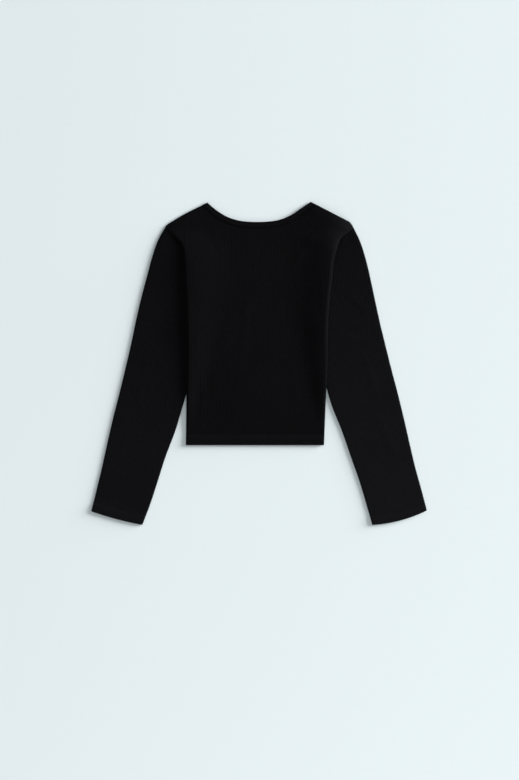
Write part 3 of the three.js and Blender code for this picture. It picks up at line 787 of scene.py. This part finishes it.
def sleeve_height(sleeve, x, y, down):
    """The height of a sleeve's top: banked up to the body beside it, and pressed down under it."""
    length = sleeve["sections"]["down"][-1]
    edge = by_side(sides, x, y)
    outside = np.maximum(0, np.abs(x) - edge)
    bank = sleeve["bank"] * np.maximum(0, lifts["height"](y)) * np.exp(-outside / BANK_WIDTH)
    free = LAID + bank + 2 * turn_at(length - down, CUFF_TURN)
    inward = edge - np.abs(x)
    room = lift_at(x, y) - SEAM_GAP
    tucked = np.maximum(smooth(room, *TUCK_ROOM), smooth(inward, 0, TUCK_RUN))
    tucked = np.where((inward > -TUCK_MARGIN) & (y > HEM_Y), tucked, 0)
    pressed = np.minimum(free, np.maximum(room, THINNEST_TUCK))
    return free * (1 - tucked) + pressed * tucked


def ring(upper, under):
    """Rows of closed loops, over the upper points and back under the lower ones."""
    return np.concatenate([upper, under[:, ::-1]], axis=1)


def cuff_lip(wall, above):
    """How far a wall draws back from each of its faces, this far above the cuff's rounded edge."""
    return 0.5 * wall * (1 - np.maximum(rounded(above, HEM_ROUND), THIN_HEM))


def sleeve_knit(across, down):
    return np.stack([across * SLEEVE_RIBS * WALES_PER_RIB, -down / COURSE], axis=-1)


def sleeve_outside(shell, sleeve, down, across):
    """The sleeve's outer faces as a tube, with its stitched lines and where a hollow fits inside."""
    length = sleeve["sections"]["down"][-1]
    above = length - down
    x, y, from_outer, from_inner = sleeve_plan(sleeve, down, across)
    thick = sleeve_height(sleeve, x, y, down)
    fold = rounded(from_outer, EDGE_ROUND) * rounded(from_inner, EDGE_ROUND)
    fold = THIN_EDGE / 2 + (1 - THIN_EDGE / 2) * fold
    fold = fold * (THIN_SEAM + (1 - THIN_SEAM) * rounded(down, SEAM_ROUND))
    groove = groove_at(above, CUFF_STITCHES)
    rib = RIB_HEIGHT * rib_at(across * SLEEVE_RIBS) * (1 - groove)
    creased = smooth(thick, CREASED_FROM[0] * LAID, CREASED_FROM[1] * LAID)
    crease = creases_at(x, y, sleeve["creases"]) * creased
    lip = cuff_lip(WALL + turn_at(above, CUFF_TURN), above)
    top = thick / 2 + (thick / 2 + rib - GROOVE_DEPTH * groove + crease) * fold - lip
    bottom = thick / 2 - (thick / 2 - RIB_HEIGHT + rib - GROOVE_DEPTH * groove) * fold + lip
    plan = np.stack([x, y], axis=-1)
    upper = np.dstack([plan, top])
    under = np.dstack([plan, bottom])
    knit = sleeve_knit(across, down)
    # painted light: paler over the whole sleeve, and more so towards the cuff
    painted_shading = SLEEVE_PAINTED_LIGHT + sleeve["fade"] * down
    # painted highlight over the turned cuff
    painted_shading = painted_shading + HEM_HIGHLIGHT * turn_at(above, CUFF_TURN) / TURNED
    loops = shell.add(ring(upper, under), ring(knit, knit), ring(painted_shading, painted_shading))
    shell.tube(loops)
    shell.lid(loops[0])
    sewn = [np.argmin(np.abs(above[:, 0] - row)) for row in CUFF_STITCHES]
    rows = [(upper[row], 1) for row in sewn] + [(under[row], -1) for row in sewn]
    free = (thick >= HOLLOW_ABOVE) & (from_inner >= HOLLOW_INSET)
    return loops, rows, from_outer[:, -1], free


def sleeve_inside(shell, sleeve, down, across, width, free):
    """The sleeve's inner faces, from the upper arm down to the open cuff, clear of the tucked edge."""
    length = sleeve["sections"]["down"][-1]
    cuff_rows = length - hem_rows(CUFF_STITCHES)[::-1]
    rows = np.concatenate([spread_rows(HOLLOW_FROM, length - HEM_ZONE, HOLLOW_STEP), cuff_rows])
    width = np.interp(rows, down[:, 0], width)
    reach = np.array([across[0, row].max() if row.any() else 0 for row in free])
    reach = np.interp(rows, down[:, 0], reach)
    start = HOLLOW_INSET / width
    inner_down, share = np.meshgrid(rows, across[0], indexing="ij")
    inner_across = start[:, None] + (reach - start)[:, None] * share
    x, y, _, _ = sleeve_plan(sleeve, inner_down, inner_across)
    thick = sleeve_height(sleeve, x, y, inner_down)
    above = length - inner_down
    wall = WALL + turn_at(above, CUFF_TURN)
    ends = (reach - start)[:, None] * width[:, None]
    ends = rounded(share * ends, HOLLOW_ROUND) * rounded((1 - share) * ends, HOLLOW_ROUND)
    gap = np.maximum(thick / 2 - wall, LEAST_HOLLOW) * np.maximum(ends, THIN_HOLLOW)
    lip = cuff_lip(wall, above)
    plan = np.stack([x, y], axis=-1)
    upper = np.dstack([plan, thick / 2 + gap + lip])
    under = np.dstack([plan, thick / 2 - gap - lip])
    knit = sleeve_knit(inner_across, inner_down)
    # painted light: paler over the whole sleeve, and more so towards the cuff
    painted_shading = SLEEVE_PAINTED_LIGHT + sleeve["fade"] * inner_down
    loops = shell.add(ring(upper, under), ring(knit, knit), ring(painted_shading, painted_shading))
    shell.tube(loops, inside_out=True)
    shell.lid(loops[0], inside_out=True)
    return loops


def sleeve_piece(name, sleeve):
    """One sleeve, with the lines that its stitches follow."""
    sleeve["curves"] = curves_of(sleeve["sections"], "down")
    length = sleeve["sections"]["down"][-1]
    shares = np.linspace(0, 1, SLEEVE_RIBS * SAMPLES + 1)
    down, across = np.meshgrid(sleeve_rows(length), shares, indexing="ij")
    shell = Shell()
    outer, rows, width, free = sleeve_outside(shell, sleeve, down, across)
    inner = sleeve_inside(shell, sleeve, down, across, width, free)
    shell.rim(outer[-1], inner[-1])
    return shell.piece(name + "_sleeve_cloth", rib_knit, "rib_knit", name + "_sleeve"), rows


# Neckband

def band_section():
    """A closed section of the folded band: along from its edge to the seam, out from 0 to 1."""
    width = BAND_WIDTH + BAND_SEAM
    corner = np.linspace(0, np.pi / 2, CORNER_POINTS)
    middle = np.linspace(BAND_CORNER, width - BAND_CORNER, FLAT_POINTS)[1:-1]
    from_edge = BAND_CORNER - BAND_CORNER * np.cos(corner)
    to_seam = width - BAND_CORNER + BAND_CORNER * np.sin(corner)
    along = np.concatenate([from_edge, middle, to_seam])
    half = 0.5 * np.concatenate([np.sin(corner), np.ones(len(middle)), np.cos(corner)])
    back = slice(-2, 0, -1)
    return np.concatenate([along, along[back]]), np.concatenate([0.5 + half, 0.5 - half[back]])


def neckband():
    """One ring: its back arc lies on top, and at each neck point it folds over to the front one."""
    height = LAID + BAND_PROUD
    inner_middle = (height - BAND_THICKNESS + WALL) / 2
    inner_radius = (height - BAND_THICKNESS - WALL) / 2
    edges, outwards, turns = [], [], []

    def arc(panel, start, end, turn):
        share = np.linspace(start, end, NECK_SAMPLES)
        edge, outward = neck_point(panel, share)
        lengths = np.concatenate([[0], np.cumsum(np.hypot(*np.diff(edge, axis=0).T))])
        count = int(lengths[-1] / BAND_RIB * BAND_RIB_SAMPLES)
        even = np.interp(np.linspace(0, lengths[-1], count), lengths, share)
        edge, outward = neck_point(panel, even)
        edges.append(edge)
        outwards.append(outward)
        turns.append(np.full(count, turn))

    def fold(side, start):
        edge, outward = neck_point("back", np.array([side]))
        edges.append(np.repeat(edge, FOLD_STEPS, axis=0))
        outwards.append(np.repeat(outward, FOLD_STEPS, axis=0))
        steps = np.arange(1, FOLD_STEPS + 1) / (FOLD_STEPS + 1)
        turns.append(start - start * 2 * steps)

    arc("back", -1, 1, np.pi / 2)
    fold(1.0, np.pi / 2)
    arc("front", 1, -1, -np.pi / 2)
    fold(-1.0, -np.pi / 2)
    edge = np.concatenate(edges)[:, None, :]
    outward = np.concatenate(outwards)[:, None, :]
    turn = np.concatenate(turns)[:, None]
    side = np.sign(edge[..., 0])
    bulge = np.stack([-side * outward[..., 1], side * outward[..., 0]], axis=-1)
    along, out = band_section()
    station = np.arange(len(turn))[:, None]
    rib = station / BAND_RIB_SAMPLES
    out = out * (1 - BAND_RIB_HEIGHT * (1 - rib_at(rib)))
    radius = inner_radius + (height / 2 - inner_radius) * out
    centre = inner_middle + (height / 2 - inner_middle) * out
    plan = edge + outward * along[None, :, None] + bulge * (radius * np.cos(turn))[..., None]
    points = np.dstack([plan, centre + radius * np.sin(turn)])
    knit = np.stack(np.broadcast_arrays(rib * WALES_PER_BAND_RIB, along / COURSE), axis=-1)
    shell = Shell()
    # painted shade on the band's edge along the neck seam
    painted_shading = -SEAM_SHADE * np.exp(-(((BAND_WIDTH + BAND_SEAM - along) / SEAM_SHADE_WIDTH) ** 2))
    loops = shell.add(points, knit, painted_shading)
    shell.tube(np.concatenate([loops, loops[:1]]))
    return shell.piece("neckband_cloth", band_knit, "band_knit", "neckband")


# Stitches

def stitches(name, rows):
    """Rows of short stitches that lie in the grooves of a hem, each sunk into the cloth at its ends."""
    shell = Shell()
    share = np.linspace(-0.5, 0.5, STITCH_POINTS)
    turn = (np.arange(THREAD_SIDES) + 0.5) * 2 * np.pi / THREAD_SIDES
    thick = THREAD_RADIUS * np.sqrt(1 - (THREAD_TAPER * share) ** 2)
    for row, out in rows:
        lengths = np.concatenate([[0], np.cumsum(np.linalg.norm(np.diff(row, axis=0), axis=1))])
        count = int((lengths[-1] - 2 * EDGE_ROUND) / STITCH_PITCH)
        middles = lengths[-1] / 2 + (np.arange(count) - (count - 1) / 2) * STITCH_PITCH
        at = middles[:, None] + share * STITCH_LENGTH
        points = np.stack([np.interp(at, lengths, row[:, i]) for i in range(3)], axis=-1)
        points[..., 2] += out * THREAD_RADIUS * (THREAD_LIFT - THREAD_SINK * share**2)
        ahead = (points[:, -1] - points[:, 0])[:, :2]
        aside = np.stack([-ahead[:, 1], ahead[:, 0]], axis=-1)
        aside = aside / np.linalg.norm(ahead, axis=1)[:, None]
        loops = np.repeat(points[:, :, None], len(turn), axis=2)
        loops[..., :2] += aside[:, None, None] * (thick[:, None] * np.cos(turn))[None, ..., None]
        loops[..., 2] += thick[:, None] * np.sin(turn)
        for loop in loops:
            numbers = shell.add(loop, np.zeros(loop.shape[:2] + (2,)))
            shell.tube(numbers)
            shell.lid(numbers[0])
            shell.lid(numbers[-1], inside_out=True)
    return shell.piece(name, thread, "thread")


back_cloth, back_rows = body_panel("back")
front_cloth, front_rows = body_panel("front")
left_sleeve, left_rows = sleeve_piece("left", SLEEVES["left"])
right_sleeve, right_rows = sleeve_piece("right", SLEEVES["right"])
band = neckband()
back_stitches = stitches("back_hem_stitches", back_rows)
front_stitches = stitches("front_hem_stitches", front_rows)
left_stitches = stitches("left_cuff_stitches", left_rows)
right_stitches = stitches("right_cuff_stitches", right_rows)


# Camera, light and floor

def camera():
    data = bpy.data.cameras.new("camera")
    data.lens = LENS
    data.sensor_width = SENSOR_WIDTH
    data.clip_start, data.clip_end = CLIP
    eye = bpy.data.objects.new("camera", data)
    bpy.context.scene.collection.objects.link(eye)
    eye.location = CAMERA_PLACE
    bpy.context.scene.camera = eye


def floor():
    mesh = bpy.data.meshes.new("floor")
    signs = [(-1, -1), (1, -1), (1, 1), (-1, 1)]
    corners = [(x * FLOOR_REACH, y * FLOOR_REACH, 0) for x, y in signs]
    mesh.from_pydata(corners, [], [(0, 1, 2, 3)])
    ground = bpy.data.objects.new("floor", mesh)
    ground.location.z = FLOOR_Z
    bpy.context.scene.collection.objects.link(ground)
    material, tree, shader = new_material("pale_paper", roughness=0.9, specular=0.1)
    ground_place = add_node(tree, "ShaderNodeTexCoord").outputs["Object"]
    fleck = noise(tree, ground_place, scale=60, detail=2, roughness=0.5)
    tree.links.new(ramp(tree, fleck, PAPER_COLOURS), shader.inputs["Base Color"])
    mesh.materials.append(material)


def area_light(name, place, size, power):
    """A round white light that faces the middle of the part."""
    data = bpy.data.lights.new(name, "AREA")
    data.shape = "DISK"
    data.size = size
    data.energy = power
    lamp = bpy.data.objects.new(name, data)
    lamp.location = place
    lamp.rotation_euler = (-Vector(place)).to_track_quat("-Z", "Y").to_euler()
    bpy.context.scene.collection.objects.link(lamp)


def world():
    scene = bpy.context.scene
    scene.world = bpy.data.worlds.new("studio")
    scene.world.use_nodes = True
    background = scene.world.node_tree.nodes["Background"]
    background.inputs["Color"].default_value = SKY_COLOUR
    background.inputs["Strength"].default_value = SKY_STRENGTH
    scene.view_settings.view_transform = "Standard"


camera()
floor()
area_light("key", **KEY)
area_light("fill", **FILL)
world()
